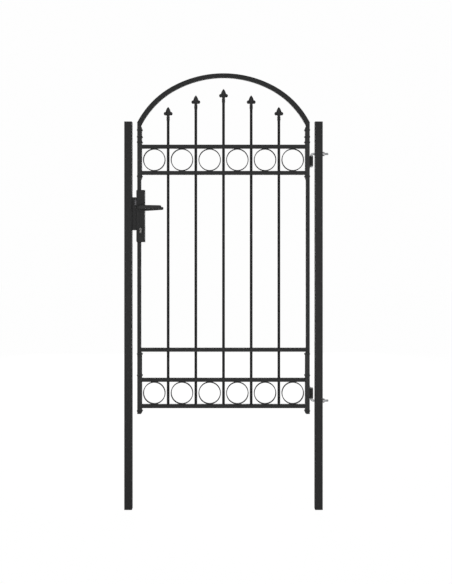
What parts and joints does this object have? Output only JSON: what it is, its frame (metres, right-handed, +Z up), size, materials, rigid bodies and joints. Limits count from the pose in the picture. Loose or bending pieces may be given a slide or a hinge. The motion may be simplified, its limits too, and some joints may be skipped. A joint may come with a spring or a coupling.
{
  "type": "garden gate",
  "caption": "Arched garden gate of black tubular steel, a swinging leaf with spear bars and ring friezes between two square posts, with a lever lock and pin hinges.",
  "frame": {"origin": "on the ground, under the middle of the whole gate's bounding box", "axes": "+Z up, +X towards the hinge post along the leaf, -Y the front; the leaf lies in the XZ plane"},
  "size_m": [1.0536, 0.168, 2.2495],
  "materials": {
    "powder_coat": "satin",
    "zinc": "satin",
    "dark_zinc": "satin",
    "black_plastic": "matte",
    "nickel": "satin"
  },
  "bodies": {
    "posts": {"latch_post_lower": "powder_coat", "latch_post_upper": "powder_coat", "hinge_post_lower": "powder_coat", "hinge_post_upper": "powder_coat", "latch_post_joiner": "zinc", "hinge_post_joiner": "zinc", "post_joint_screws": "powder_coat", "latch_post_cap": "black_plastic", "hinge_post_cap": "black_plastic", "latch_keeper": "powder_coat", "keeper_screws": "zinc", "upper_hinge_bolt": "zinc", "lower_hinge_bolt": "zinc", "hinge_nuts": "dark_zinc", "hinge_washers": "zinc"},
    "leaf": {"arch_tube": "powder_coat", "latch_stile_upper": "powder_coat", "latch_stile_middle": "powder_coat", "latch_stile_lower": "powder_coat", "hinge_stile_upper": "powder_coat", "hinge_stile_lower": "powder_coat", "latch_stile_joiner": "zinc", "hinge_stile_joiner": "zinc", "stile_joint_screws": "powder_coat", "stile_foot_plugs": "black_plastic", "latch_upper_sleeve": "powder_coat", "latch_lower_sleeve": "powder_coat", "hinge_upper_sleeve": "powder_coat", "hinge_lower_sleeve": "powder_coat", "frieze_rail_top": "powder_coat", "frieze_rail_bottom": "powder_coat", "middle_rail": "powder_coat", "base_rail_top": "powder_coat", "base_rail_bottom": "powder_coat", "upper_bars": "powder_coat", "lower_bars": "powder_coat", "bar_spigots": "zinc", "centre_finial": "powder_coat", "inner_finials": "powder_coat", "outer_finials": "powder_coat", "frieze_rings": "powder_coat", "base_rings": "powder_coat", "upper_hinge_barrel": "powder_coat", "lower_hinge_barrel": "powder_coat", "lock_case": "powder_coat", "lock_cover": "powder_coat", "lock_cover_screws": "powder_coat", "handle_bushes": "black_plastic", "lock_cylinder": "nickel", "cylinder_screw": "zinc", "latch_spring": "zinc"},
    "handle": {"front_handle": "powder_coat", "rear_handle": "powder_coat", "handle_spindle": "zinc", "handle_grub_screws": "zinc", "lock_follower": "zinc"},
    "latch": {"latch_bolt": "zinc"},
    "key_plug": {"cylinder_plug": "nickel"},
    "deadbolt": {"dead_bolt": "zinc"}
  },
  "joints": [
    {"name": "gate_swing", "type": "hinge", "parent": "posts", "child": "leaf", "pos_m": [0.43935, 0, 1.2], "axis": [0, 0, 1], "range_deg": [0, 90]},
    {"name": "handle_turn", "type": "hinge", "parent": "leaf", "child": "handle", "pos_m": [-0.44065, 0, 1.555], "axis": [0, 1, 0], "range_deg": [0, 40], "stiffness_Nm_per_rad": 1.6, "springref_deg": -28.65},
    {"name": "latch_slide", "type": "slide", "parent": "leaf", "child": "latch", "axis": [1, 0, 0], "range_m": [0, 0.01128], "deforming": ["latch_spring"]},
    {"name": "key_turn", "type": "hinge", "parent": "leaf", "child": "key_plug", "pos_m": [-0.44065, 0, 1.445], "axis": [0, -1, 0], "range_deg": [0, 90]},
    {"name": "deadbolt_slide", "type": "slide", "parent": "leaf", "child": "deadbolt", "axis": [-1, 0, 0], "range_m": [0, 0.017]}
  ],
  "couplings": [
    {"joint": "latch_slide", "follows": "handle_turn", "m_per_rad": 0.016157},
    {"joint": "key_turn", "follows": "deadbolt_slide", "rad_per_m": 92.396}
  ]
}
